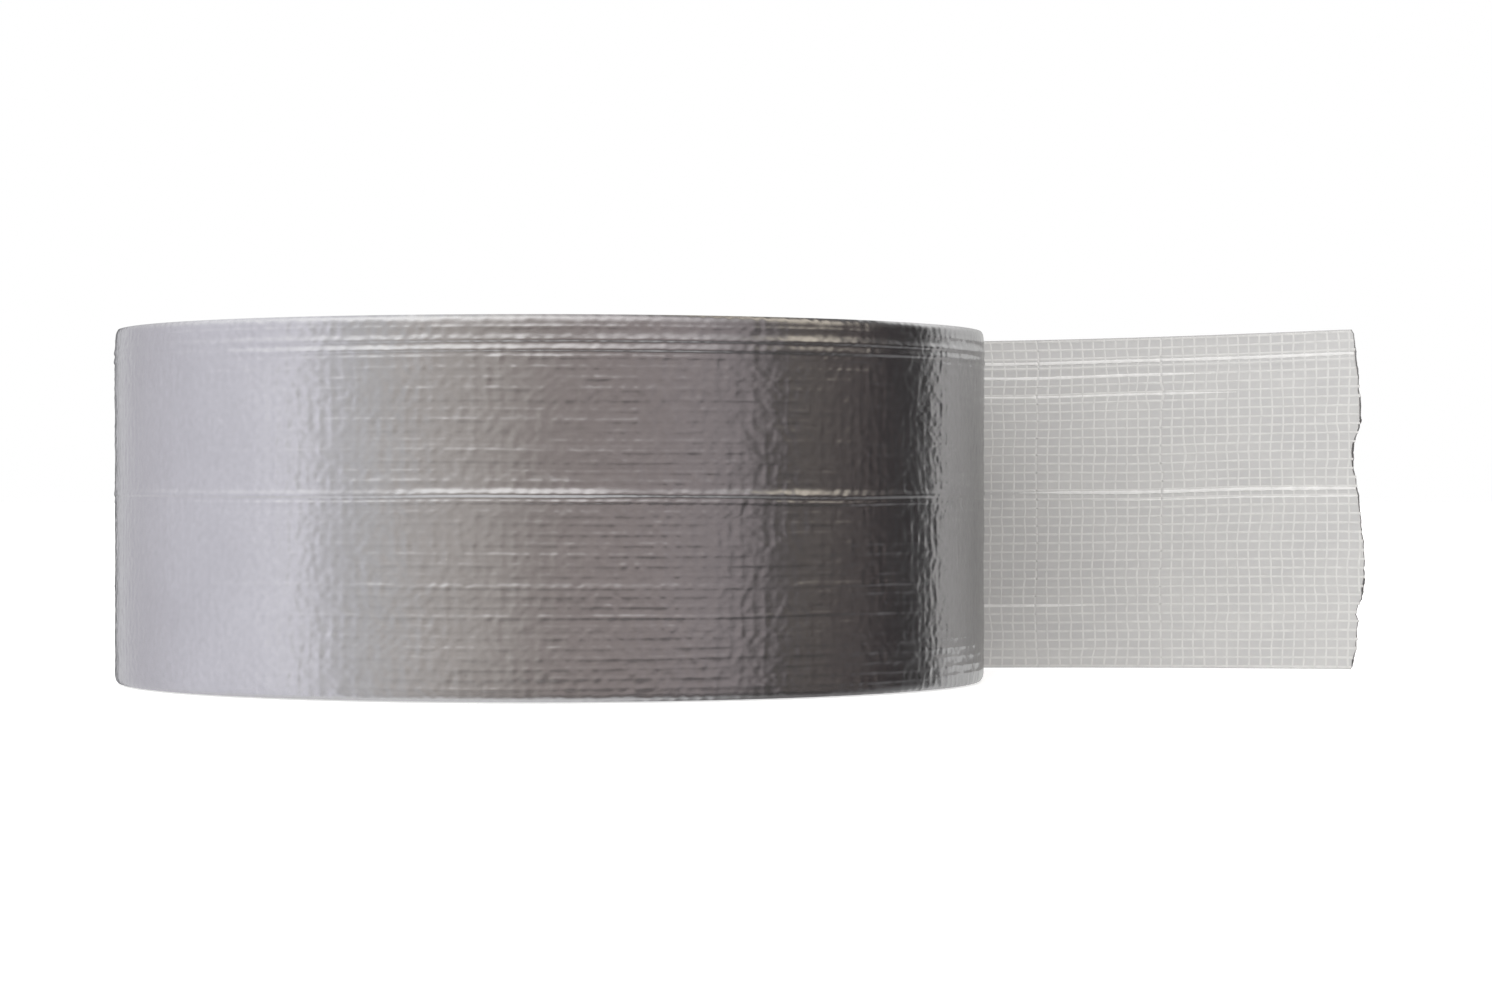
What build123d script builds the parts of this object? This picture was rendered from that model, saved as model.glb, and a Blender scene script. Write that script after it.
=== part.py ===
"""Roll of duct tape lying on one side face, with a length of tape peeled off its back.

Units are millimetres. The origin is on the roll's axis at the lower side face, and +Z runs
up the axis. Seen from above, the tape is wound clockwise, so its free end leaves the roll
at the back (+Y), runs to the right (+X) and curls forward (-Y).
"""
import math
import os

from build123d import *

# ---- Roll -------------------------------------------------------------------------------
TAPE_WIDTH = 48.0            # 1.88 inch tape
ROLL_RADIUS = 60.0           # over the last turn
BORE_RADIUS = 38.1           # standard 3 inch core

# ---- Core: strips of paper and board, wound into a tube and glued ---------------------------
LINER_THICKNESS = 0.4
BOARD_THICKNESS = 0.55
BOARD_PLIES = 4
SEAM_GAP = 0.4               # gap between neighbouring edges of one wound strip
SEAM_TWIST = 200.0           # degrees that a seam turns from one side face to the other
SEAM_STEP = 70.0             # each ply's seam starts this far round from the last one

# ---- Tape -------------------------------------------------------------------------------
TURNS = 85                   # about 27 m of tape
TAPE_THICKNESS = 0.19
FILM_THICKNESS = 0.06        # polyethylene film, on the outside of each turn
SCRIM_THICKNESS = 0.05       # open woven cloth
CORE_CLEARANCE = 0.05        # between the core and the first turn

# ---- Loose end: (length, turn) of each bend after the peel line, degrees, left positive ----
PEEL_ANGLE = 40.0            # the peel line, clockwise from +Y
STUCK_SPAN = 28.0            # degrees of the last turn that each peeling span covers
LIFT_RUNS = ((14.3, 0.0), (11.7, 32.0))
TAIL_RUNS = ((18.6, -12.0), (20.0, -9.5), (20.2, -5.2))
JOINT_GAP = 0.2              # between neighbouring spans of the loose end

# ---- Worked out -----------------------------------------------------------------------------
CORE_RADIUS = BORE_RADIUS + 2 * LINER_THICKNESS + BOARD_PLIES * BOARD_THICKNESS
PACK_START = CORE_RADIUS + CORE_CLEARANCE
# From one turn to the next the tape steps out by its thickness and a little air.
TURN_PITCH = (ROLL_RADIUS - TAPE_THICKNESS - PACK_START) / TURNS
# The last half turn is a half circle about a centre half a pitch out, towards the peel line.
LAST_RADIUS = ROLL_RADIUS - TURN_PITCH / 2 - TAPE_THICKNESS / 2
STUCK_START = PEEL_ANGLE - 2 * STUCK_SPAN
STUCK_LENGTH = math.radians(STUCK_SPAN) * LAST_RADIUS
STUCK_RUN = (STUCK_LENGTH, -STUCK_SPAN)

# Each layer of the tape, between two heights above the tape's inner, sticky face.
FILM_START = TAPE_THICKNESS - FILM_THICKNESS
SCRIM_START = FILM_START - SCRIM_THICKNESS
LAYERS = {
    "adhesive": (0.0, SCRIM_START),
    "scrim": (SCRIM_START, FILM_START),
    "film": (FILM_START, TAPE_THICKNESS),
}


# ---- Core -----------------------------------------------------------------------------------
def core_ply(inner, thickness, seam_start):
    """One ply of the core: a tube with the thin helical gap of its butt seam."""
    middle = inner + thickness / 2
    tube = Cylinder(inner + thickness, TAPE_WIDTH, align=(Align.CENTER, Align.CENTER, Align.MIN))
    tube -= Cylinder(inner, TAPE_WIDTH, align=(Align.CENTER, Align.CENTER, Align.MIN))
    blade_face = Plane.XY.offset(-1) * Pos(middle, 0) * Rectangle(3 * thickness, SEAM_GAP)
    lead = SEAM_TWIST * (TAPE_WIDTH + 2) / TAPE_WIDTH
    blade = Solid.extrude_linear_with_rotation(
        blade_face.face(), center=(0, 0, -1), normal=(0, 0, TAPE_WIDTH + 2), angle=lead
    )
    return Rot(0, 0, seam_start) * (tube - blade)


def core_plies():
    """Every ply from the bore outward, by name."""
    names = ["core_inner_liner"]
    names += [f"core_board_ply_{n + 1}" for n in range(BOARD_PLIES)]
    names += ["core_outer_liner"]
    plies = {}
    radius = BORE_RADIUS
    for count, name in enumerate(names):
        thickness = LINER_THICKNESS if name.endswith("liner") else BOARD_THICKNESS
        plies[name] = core_ply(radius, thickness, count * SEAM_STEP)
        radius += thickness
    return plies


# ---- Wound tape -----------------------------------------------------------------------------
def polar(radius, angle, centre=(0.0, 0.0)):
    """A plan point at this radius and at this many degrees clockwise from +Y."""
    turn = math.radians(angle)
    return (centre[0] + radius * math.sin(turn), centre[1] + radius * math.cos(turn))


HALF_PITCH_OUT = polar(TURN_PITCH / 2, PEEL_ANGLE)


def spiral_wall(first, last, offset, end_angle):
    """Edges of a spiral from half turn first to half turn last, ending at end_angle.

    The spiral is made of half circles about two centres that lie half a pitch apart, so it
    runs on smoothly from each half turn to the next. offset moves it outward.
    """
    edges = []
    for half in range(first, last):
        radius = PACK_START + half * TURN_PITCH / 2 + offset
        centre = HALF_PITCH_OUT if half % 2 else (0.0, 0.0)
        start = PEEL_ANGLE + 180 * half
        stop = min(start + 180, end_angle)
        points = [polar(radius, angle, centre) for angle in (start, (start + stop) / 2, stop)]
        edges.append(ThreePointArc(*points))
    return edges


def closed_by_lines(inside, outside):
    """A solid between two walls that run the same way, closed by a line at each end."""
    ends = [Line(inside[0] @ 0, outside[0] @ 0), Line(inside[-1] @ 1, outside[-1] @ 1)]
    return extrude(make_face(inside + outside + ends), TAPE_WIDTH)


def stuck_turns(turns):
    """This many turns from the core outward, stuck to each other with no gap.

    Both walls are one turn of the spiral, closed by the step that the strip's own end makes.
    """
    steps = [spiral_wall(0, 2, 0.0, math.inf)]
    steps += [spiral_wall(2 * turns - 2, 2 * turns, TAPE_THICKNESS, math.inf)]
    inside, outside = [make_face(wall + [Line(wall[0] @ 0, wall[-1] @ 1)]) for wall in steps]
    return extrude(outside - inside, TAPE_WIDTH)


# ---- Loose end ------------------------------------------------------------------------------
class TapePath:
    """The tape's middle line in plan, from the first peeling span to the torn end."""

    def __init__(self, start_angle, runs):
        self.runs = runs
        x, y = polar(LAST_RADIUS, start_angle, HALF_PITCH_OUT)
        heading = -math.radians(start_angle)
        self.starts = []
        distance = 0.0
        for length, turn in runs:
            self.starts.append((distance, x, y, heading))
            x, y, heading = self.advance(x, y, heading, length, math.radians(turn))
            distance += length
        self.length = distance

    @staticmethod
    def advance(x, y, heading, length, turn):
        """The point and heading after a run of this length that turns by this much."""
        chord = length if turn == 0 else length * math.sin(turn / 2) / (turn / 2)
        direction = heading + turn / 2
        return x + chord * math.cos(direction), y + chord * math.sin(direction), heading + turn

    def point(self, distance, offset):
        """The plan point this far along the tape and this far outward of its middle line."""
        index = max(n for n, start in enumerate(self.starts) if start[0] <= distance + 1e-9)
        start, x, y, heading = self.starts[index]
        length, turn = self.runs[index]
        part = distance - start
        x, y, heading = self.advance(x, y, heading, part, math.radians(turn) * part / length)
        return (x - offset * math.sin(heading), y + offset * math.cos(heading))

    def side(self, start, stop, offset):
        """Edges along the tape from start to stop, one for each run that they cross."""
        breaks = [run[0] for run in self.starts if start < run[0] < stop]
        stations = [start] + breaks + [stop]
        edges = []
        for here, there in zip(stations, stations[1:]):
            first, middle, last = [self.point(s, offset) for s in (here, (here + there) / 2, there)]
            edge = ThreePointArc(first, middle, last) if self.bends(here, there) else Line(first, last)
            edges.append(edge)
        return edges

    def bends(self, here, there):
        """Whether the one run between these two distances is an arc."""
        middle = (here + there) / 2
        index = max(n for n, start in enumerate(self.starts) if start[0] <= middle)
        return self.runs[index][1] != 0

    def strip(self, start, stop, inner, outer):
        """A solid length of the tape between two heights above its inner face."""
        inside = self.side(start, stop, inner - TAPE_THICKNESS / 2)
        outside = self.side(start, stop, outer - TAPE_THICKNESS / 2)
        return closed_by_lines(inside, outside)


# Each span of the loose end that bends as one, with the runs that it is made of.
SPANS = {"peel_1": (STUCK_RUN,), "peel_2": (STUCK_RUN,), "lift": LIFT_RUNS}
SPANS.update({f"tail_{n + 1}": (run,) for n, run in enumerate(TAIL_RUNS)})


def loose_end():
    """Every layer of every span of the loose end, by name, and the hinge lines between them."""
    path = TapePath(STUCK_START, [run for runs in SPANS.values() for run in runs])
    pieces = {}
    hinges = {}
    distance = 0.0
    for span, runs in SPANS.items():
        length = sum(run[0] for run in runs)
        hinges[span] = path.point(distance, 0.0)
        start = distance + JOINT_GAP / 2
        last = distance + length > path.length - 1e-6
        stop = distance + length - (0.0 if last else JOINT_GAP / 2)
        for layer, (inner, outer) in LAYERS.items():
            pieces[f"{span}_{layer}"] = path.strip(start, stop, inner, outer)
        distance += length
    return pieces, hinges


def wound_tape():
    """The turns under the last one as one stuck pack, and the last turn's fixed layers."""
    halves = 2 * TURNS
    gap_angle = math.degrees(JOINT_GAP / 2 / LAST_RADIUS)
    fixed_angle = PEEL_ANGLE + 180 * halves - 2 * STUCK_SPAN - gap_angle
    pieces = {"wound_tape": stuck_turns(TURNS - 1)}
    for layer, (inner, outer) in LAYERS.items():
        walls = [spiral_wall(halves - 2, halves, offset, fixed_angle) for offset in (inner, outer)]
        pieces[f"outer_turn_{layer}"] = closed_by_lines(*walls)
    return pieces


def main():
    os.makedirs("parts", exist_ok=True)
    pieces = core_plies()
    pieces.update(wound_tape())
    spans, hinges = loose_end()
    pieces.update(spans)
    for name, shape in pieces.items():
        export_step(shape, f"parts/{name}.step")
    print("turns", TURNS, "first turn starts at radius", round(PACK_START, 3))
    for span, (x, y) in hinges.items():
        print("hinge line of", span, "at x", round(x, 4), "y", round(y, 4))


main()
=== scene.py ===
"""The looks of the duct tape roll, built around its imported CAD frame.

The tape's own coordinates are millimetres: u runs along the tape and is 0 at the peel line,
v runs across it from the lower edge, and out is how far a point lies outward of the tape's
middle, towards the film. Everything else is in metres, in the frame's own axes.
"""
import math

import bpy
import numpy as np
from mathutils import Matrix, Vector


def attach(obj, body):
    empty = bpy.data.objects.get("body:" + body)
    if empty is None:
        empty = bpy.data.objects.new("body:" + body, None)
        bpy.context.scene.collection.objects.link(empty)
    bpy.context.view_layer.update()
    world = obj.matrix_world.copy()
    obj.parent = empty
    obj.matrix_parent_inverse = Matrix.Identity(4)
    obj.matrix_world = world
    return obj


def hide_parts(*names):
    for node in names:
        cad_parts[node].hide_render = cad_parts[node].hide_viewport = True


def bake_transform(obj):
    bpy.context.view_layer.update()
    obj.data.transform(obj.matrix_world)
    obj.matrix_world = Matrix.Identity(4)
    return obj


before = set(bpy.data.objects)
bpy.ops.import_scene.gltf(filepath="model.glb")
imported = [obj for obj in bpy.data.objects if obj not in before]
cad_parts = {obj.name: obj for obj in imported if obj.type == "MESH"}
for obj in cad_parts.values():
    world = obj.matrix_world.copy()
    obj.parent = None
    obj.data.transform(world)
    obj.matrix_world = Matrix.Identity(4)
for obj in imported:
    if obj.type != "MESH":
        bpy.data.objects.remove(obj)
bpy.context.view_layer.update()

MM = 0.001
ROLL, PEEL_1, PEEL_2, LIFT, TAIL_1, TAIL_2, TAIL_3 = (
    "roll", "peel_1", "peel_2", "lift", "tail_1", "tail_2", "tail_3"
)

# ---- Sizes in millimetres, the same as the part's own ---------------------------------------
WIDTH = 48.0
RADIUS = 60.0
BORE = 38.1
LINER = 0.4
BOARD = 0.55
SEAM_GAP = 0.4
SEAM_TWIST = 200.0
SEAM_STEP = 70.0
PACK_START = 41.15
TURNS = 85
THICKNESS = 0.19
FILM = 0.06
SCRIM = 0.05
PITCH = (RADIUS - THICKNESS - PACK_START) / TURNS
PEEL_ANGLE = 40.0
LAST_RADIUS = RADIUS - PITCH / 2 - THICKNESS / 2
STUCK_LENGTH = math.radians(28.0) * LAST_RADIUS
LOOSE_RUNS = ((14.3, 0.0), (11.7, 32.0), (18.6, -12.0), (20.0, -9.5), (20.2, -5.2))
TAIL_LENGTH = sum(run[0] for run in LOOSE_RUNS)
ONE_TURN = 2 * math.pi * LAST_RADIUS
OUTER = THICKNESS / 2
FILM_BACK = OUTER - FILM
SCRIM_BACK = FILM_BACK - SCRIM

# ---- The cloth in the tape ------------------------------------------------------------------
WARP_PITCH = 1.28            # across the tape, between lengthwise yarns
WARP_COUNT = round(WIDTH / WARP_PITCH)
FIRST_WARP = 0.25            # the first yarn's place, in pitches from the lower edge
WEFT_PITCH = 1.70            # along the tape, between crosswise yarns
WARP_RISE = 0.024            # how far each set of yarns lifts the film
WEFT_RISE = 0.018
BEAD_RISE = 0.015            # and how much more where two yarns cross
PILLOW_DEPTH = 0.028         # how far the film sinks or swells between the yarns
DIMPLE_RISE = 0.026          # small dimples all over
STACK_RISE = 0.045           # long ridges where the yarns of many turns lie on each other
SWELL_RISE = 0.028           # broad swells, several yarns across
FILM_LIFT = 0.02             # makes room for the film's dips above the cloth
LOWEST = -0.045              # how far the film may sink, and how gently it is held there
LOWEST_SOFTNESS = 0.02
YARN_HALF_WIDTH = 0.20
YARN_HALF_HEIGHT = 0.05
YARN_SINK = 0.022            # from the sticky face to a yarn's middle
YARN_WAVE = 0.004            # how far a yarn rises and dives at each crossing
YARN_DRIFT = 0.006           # and how far it wanders in and out between its places

# Creases that run along the tape: place across it, width of the flank above the crest and of
# the steeper one below it, height, and how beaded the yarns under it make it.
CREASES = (
    (46.4, 0.25, 0.16, 0.03, 0.6), (44.75, 0.56, 0.17, 0.17, 0.15), (43.50, 0.52, 0.16, 0.16, 0.15),
    (42.6, 0.24, 0.14, 0.03, 0.6), (34.0, 0.24, 0.14, 0.02, 0.6), (31.6, 0.24, 0.14, 0.02, 0.6),
    (29.1, 0.24, 0.14, 0.02, 0.6), (25.55, 0.62, 0.18, 0.23, 0.12), (24.60, 0.30, 0.13, 0.09, 0.35),
    (22.95, 0.24, 0.14, 0.03, 0.6), (14.1, 0.30, 0.14, 0.06, 0.3), (10.4, 0.28, 0.14, 0.05, 0.4),
    (8.8, 0.24, 0.14, 0.03, 0.6), (1.7, 0.24, 0.14, 0.02, 0.6),
)
CREASE_SLANT = 0.7           # how far along the tape each bead runs for its height
CREASE_WANDER = 0.08         # how far a crease strays across the tape
FULL_CREASE = 0.08           # a crease this high hides most of the weave
CREASE_BEHIND = 0.25         # the share of a crease that shows on the sticky side

# Lengthwise lines pressed white into the sticky side: place across, from, to, half width.
PRESSED = (
    (44.6, -60.0, 90.0, 0.30), (42.5, -60.0, 62.0, 0.27), (39.7, 18.0, 66.0, 0.22),
    (25.6, 33.0, 90.0, 0.28), (24.5, 44.0, 90.0, 0.18), (9.2, -60.0, 46.0, 0.27),
)

# Places where the weave has been dragged: along, across, reach, and how far.
SNAGS = (
    (47.0, 41.0, 2.6, 0.55), (52.3, 39.5, 1.5, -0.6), (54.9, 39.7, 1.5, 0.6),
    (56.2, 43.0, 2.0, 0.5), (58.5, 31.0, 1.7, 0.6), (31.0, 42.0, 2.4, 0.4),
)

# The torn end, from the lower edge up: place across the tape, and how far it stands out.
TORN_EDGE = (
    (0.0, -1.0), (1.4, -0.6), (4.2, -0.2), (7.0, -0.2), (8.4, -0.5), (9.8, 0.35),
    (12.6, 1.0), (17.0, 0.8), (22.5, 0.25), (26.8, -0.35), (29.6, -0.95), (31.2, -0.9),
    (33.9, -0.1), (35.4, 0.4), (38.0, 0.2), (43.5, -0.4), (48.0, -0.9),
)


# ---- Smooth random fields -------------------------------------------------------------------
class Field:
    """Smooth noise from -1 to 1 over a plane, with its own seed and cell size."""

    CELLS = 128

    def __init__(self, seed, along, across):
        self.table = np.random.default_rng(seed).uniform(-1, 1, (self.CELLS, self.CELLS))
        self.along = along
        self.across = across

    def __call__(self, u, v):
        x, y = np.broadcast_arrays(np.asarray(u) / self.along, np.asarray(v) / self.across)
        i, j = np.floor(x).astype(int), np.floor(y).astype(int)
        a, b = x - i, y - j
        a, b = a * a * (3 - 2 * a), b * b * (3 - 2 * b)
        n = self.CELLS
        near = self.table[i % n, j % n] * (1 - a) + self.table[(i + 1) % n, j % n] * a
        far = self.table[i % n, (j + 1) % n] * (1 - a) + self.table[(i + 1) % n, (j + 1) % n] * a
        return near * (1 - b) + far * b


STRAY_ACROSS = Field(1, 17.0, 6.0)
STRAY_ALONG = Field(2, 9.0, 4.5)
WARP_STRENGTH = Field(3, 6.0, WARP_PITCH)
WEFT_STRENGTH = Field(4, WEFT_PITCH, 2.2)
DIMPLES = Field(5, 0.85, 1.05)
PILLOWS = Field(13, WEFT_PITCH, WARP_PITCH)
STACKS = Field(14, 45.0, 1.5 * WARP_PITCH)
SWELLS = Field(6, 9.0, 5.0)
CREASE_STRENGTH = Field(7, 13.0, 0.9)
GRAIN = Field(10, 0.9, 0.8)
TEAR = Field(11, 1.0, 0.55)
RIM = Field(12, 2.1, 1.4)


def ridge(phase, sharpness):
    """1 where the phase is a whole number, and 0 half way between."""
    return (0.5 + 0.5 * np.cos(2 * math.pi * phase)) ** sharpness


def warp_phase(v):
    """A whole number on every lengthwise yarn."""
    return v / WARP_PITCH - FIRST_WARP


def creases(u, v):
    """How far the creases lift the film, together."""
    total = np.zeros(np.broadcast(u, v).shape)
    for place, above, below, height, beaded in CREASES:
        off = v - place - CREASE_WANDER * STRAY_ACROSS(u * 0.7, place * 3)
        strength = 0.85 + 0.35 * CREASE_STRENGTH(u, place)
        beads = 1 - beaded * (1 - ridge((u + CREASE_SLANT * v) / WEFT_PITCH, 1.0))
        total += height * strength * beads * np.exp(-((off / np.where(off > 0, above, below)) ** 2))
    return total


def film_height(u, v):
    """How far the film's outer face stands above the plain tape."""
    over_warp, over_weft = ridge(warp_phase(v), 2.5), ridge(u / WEFT_PITCH, 2.0)
    warps = WARP_RISE * (0.75 + 0.6 * WARP_STRENGTH(u, v)) * over_warp
    wefts = WEFT_RISE * (0.6 + 0.8 * WEFT_STRENGTH(u, v)) * over_weft
    beads = BEAD_RISE * (1 + SWELLS(u * 2, v * 2)) * over_warp * over_weft
    # A pillow's middle lies half way between the yarns on each side of it.
    pillow = PILLOWS(u - WEFT_PITCH / 2, v - (FIRST_WARP + 0.5) * WARP_PITCH)
    pillow = pillow * (1 - over_warp) * (1 - over_weft)
    soft = DIMPLE_RISE * DIMPLES(u + 0.6 * v, v - 0.6 * u) + STACK_RISE * STACKS(u, v)
    soft = soft + SWELL_RISE * SWELLS(u + 0.5 * v, v - 0.5 * u)
    creased = creases(u, v)
    woven = (warps + wefts + beads) * (1 - 0.75 * np.clip(creased / FULL_CREASE, 0, 1))
    height = FILM_LIFT + woven + PILLOW_DEPTH * pillow + soft + creased
    # The film eases off above the cloth, and never sinks into it.
    return LOWEST + LOWEST_SOFTNESS * np.logaddexp(0, (height - LOWEST) / LOWEST_SOFTNESS)


# ---- Where the tape runs --------------------------------------------------------------------
# How far the tape draws in at its edges, and over how much of its width.
EDGE_ROUNDING = ((0.30, 0.95), (0.10, 6.0))
ROUNDING_FADE = 25.0         # the loose tape's edges straighten over this length,
LEAST_ROUNDING = 0.25        # down to this share
CLIMB = 0.85                 # the loose tape climbs this far,
CLIMB_START = 20.0           # from here along it,
CLIMB_LENGTH = 62.0          # over this length,
CLIMB_CURVE = 1.3            # and faster towards its end
PAST_END = 6.0               # the line goes on this far past the tape's own end


def loose_line():
    """Distances, points and headings along the tape's middle from the peel line outward."""
    step = 0.05
    turn = math.radians(PEEL_ANGLE)
    x = (LAST_RADIUS + PITCH / 2) * math.sin(turn)
    y = (LAST_RADIUS + PITCH / 2) * math.cos(turn)
    heading = -turn
    rows = [(0.0, x, y, heading)]
    for length, bend in LOOSE_RUNS + ((PAST_END, 0.0),):
        count = round(length / step)
        part, change = length / count, math.radians(bend) / count
        for _ in range(count):
            heading += change / 2
            x += part * math.cos(heading)
            y += part * math.sin(heading)
            heading += change / 2
            rows.append((rows[-1][0] + part, x, y, heading))
    return np.array(rows).T


LINE = loose_line()


def strayed(u, v):
    """Where the weave's own place (u, v) lies along and across the tape."""
    inside = np.clip(np.minimum(v, WIDTH - v) / 2.0, 0, 1)
    along = 0.26 * STRAY_ALONG(u, v) + 0.12 * STRAY_ALONG(u * 3.1, v * 2.7)
    for place_u, place_v, reach, shift in SNAGS:
        along = along + shift * np.exp(-((u - place_u) ** 2 + (v - place_v) ** 2) / reach ** 2)
    return u + along, v + 0.16 * STRAY_ACROSS(u, v) * inside


def crown(z):
    """How far the tape draws in towards its two edges."""
    near_edge = np.minimum(z, WIDTH - z)
    return -sum(draw * np.clip(1 - near_edge / reach, 0, 1) ** 2 for draw, reach in EDGE_ROUNDING)


def tape_points(u, out, v):
    """Points in metres at these places on the wound turns, u below 0, or on the loose end."""
    u, out, v = np.broadcast_arrays(u, out, v)
    s, z = strayed(u, v)
    angle = math.radians(PEEL_ANGLE) + s / LAST_RADIUS
    middle = LAST_RADIUS + PITCH / 2 + PITCH * s / ONE_TURN
    radius = middle + out + crown(z)
    wound = np.stack([radius * np.sin(angle), radius * np.cos(angle), z], -1)
    x, y, heading = (np.interp(s, LINE[0], row) for row in LINE[1:])
    aside = out + crown(z) * np.clip(1 - s / ROUNDING_FADE, LEAST_ROUNDING, 1)
    lifted = z + CLIMB * np.clip((s - CLIMB_START) / CLIMB_LENGTH, 0, 1) ** CLIMB_CURVE
    loose = np.stack([x - aside * np.sin(heading), y + aside * np.cos(heading), lifted], -1)
    return np.where((s < 0)[..., None], wound, loose) * MM


# ---- Meshes ---------------------------------------------------------------------------------
def new_object(name, points, quads, material, others=(), indices=None, smooth=None):
    """A mesh object of quads and a few other faces.

    indices gives each quad's material. smooth counts the faces, from the first, that are
    shaded as one curve; all of them are when it is left out.
    """
    mesh = bpy.data.meshes.new(name)
    quads = np.asarray(quads).reshape(-1, 4)
    loops = np.concatenate([quads.ravel()] + [np.asarray(face) for face in others]).astype(np.int32)
    sizes = [4] * len(quads) + [len(face) for face in others]
    starts = np.concatenate([[0], np.cumsum(sizes)[:-1]]).astype(np.int32)
    mesh.vertices.add(len(points))
    mesh.vertices.foreach_set("co", np.asarray(points, np.float32).ravel())
    mesh.loops.add(len(loops))
    mesh.loops.foreach_set("vertex_index", loops)
    mesh.polygons.add(len(sizes))
    mesh.polygons.foreach_set("loop_start", starts)
    for m in material if isinstance(material, (list, tuple)) else [material]:
        mesh.materials.append(m)
    if indices is not None:
        mesh.polygons.foreach_set("material_index", list(indices) + [0] * len(others))
    count = len(sizes) if smooth is None else smooth
    mesh.polygons.foreach_set("use_smooth", [n < count for n in range(len(sizes))])
    mesh.update(calc_edges=True)
    obj = bpy.data.objects.new(name, mesh)
    bpy.context.scene.collection.objects.link(obj)
    return obj


def shade_as_curve(mesh, normals, face_count):
    """Gives the first quads the normals of the curve they lie on, and leaves the rest flat."""
    corners = np.zeros(len(mesh.loops), np.int32)
    mesh.loops.foreach_get("vertex_index", corners)
    given = np.zeros((len(corners), 3))
    worked = 4 * face_count
    given[:worked] = normals.reshape(-1, 3)[corners[:worked]]
    mesh.normals_split_custom_set(given.tolist())


def cells(a, b, c, d):
    """Quads from four arrays of their corners."""
    return np.stack([a, b, c, d], -1).reshape(-1, 4)


def grid_cells(grid):
    return cells(grid[:-1, :-1], grid[:-1, 1:], grid[1:, 1:], grid[1:, :-1])


def grid_normals(points, outward):
    along = np.gradient(points, axis=0)
    across = np.gradient(points, axis=1)
    n = np.cross(across, along) if outward else np.cross(along, across)
    return n / np.linalg.norm(n, axis=-1, keepdims=True)


BACK_STRIDE = 8              # the plain face has every eighth station across


def slab(name, u, v, height, back, outward, material):
    """A closed length of one layer of the tape, with one worked face and one plain one.

    u and v are the grid's stations, u with one row for each station along the tape. height
    gives the worked face and back the plain one. outward says which way the first one looks.
    """
    before, after = 2 * u[0] - u[1], 2 * u[-1] - u[-2]
    wide_u = np.vstack([before, u, after])
    wide_v = np.broadcast_to(v, wide_u.shape)
    padded = tape_points(wide_u, height(wide_u, wide_v), wide_v)
    normals = grid_normals(padded, outward)[1:-1]
    front = padded[1:-1]
    rows, columns = front.shape[:2]
    picks = sorted({*range(0, columns, BACK_STRIDE), columns - 1})
    plain = tape_points(u[:, picks], back, np.broadcast_to(v, u.shape)[:, picks])
    face = np.arange(rows * columns).reshape(rows, columns)
    rear = rows * columns + np.arange(rows * len(picks)).reshape(rows, len(picks))
    quads = [
        grid_cells(face),
        grid_cells(rear)[:, ::-1],
        cells(face[:-1, 0], face[1:, 0], rear[1:, 0], rear[:-1, 0]),
        cells(face[1:, -1], face[:-1, -1], rear[:-1, -1], rear[1:, -1]),
    ]
    caps = []
    for n, (low, high) in enumerate(zip(picks, picks[1:])):
        caps.append(np.concatenate([[rear[0, n], rear[0, n + 1]], face[0, low:high + 1][::-1]]))
        caps.append(np.concatenate([[rear[-1, n + 1], rear[-1, n]], face[-1, low:high + 1]]))
    quads = np.vstack(quads)
    if not outward:
        quads = quads[:, ::-1]
        caps = [cap[::-1] for cap in caps]
    points = np.vstack([front.reshape(-1, 3), plain.reshape(-1, 3)])
    worked = (rows - 1) * (columns - 1)
    obj = new_object(name, points, quads, material, others=caps, smooth=worked)
    shade_as_curve(obj.data, normals, worked)
    return obj


def tube_faces(rings, base=0):
    """The quads round a tube of rings, and the two faces that close it."""
    rows, count = rings.shape[:2]
    at = base + np.arange(rows * count).reshape(rows, count)
    following = np.roll(at, -1, 1)
    return cells(at[:-1], at[1:], following[1:], following[:-1]), [at[0], at[-1, ::-1]]


def tube(name, rings, material, indices=None):
    quads, ends = tube_faces(rings)
    of_quads = None if indices is None else list(indices) * (len(rings) - 1)
    return new_object(name, rings.reshape(-1, 3), quads, material, others=ends, indices=of_quads)


def joined_tubes(name, tubes, material, marked=0):
    """Many closed tubes in one mesh. The last marked ones take the second material."""
    points, quads, ends, of_quads, base = [], [], [], [], 0
    for n, rings in enumerate(tubes):
        sides, caps = tube_faces(rings, base)
        points.append(rings.reshape(-1, 3))
        quads.append(sides)
        ends += caps
        of_quads += [int(n >= len(tubes) - marked)] * len(sides)
        base += rings.shape[0] * rings.shape[1]
    quads = np.vstack(quads)
    return new_object(name, np.vstack(points), quads, material, ends, of_quads, smooth=len(quads))


def stations(start, stop, step):
    return np.linspace(start, stop, max(2, round(abs(stop - start) / step) + 1))


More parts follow.
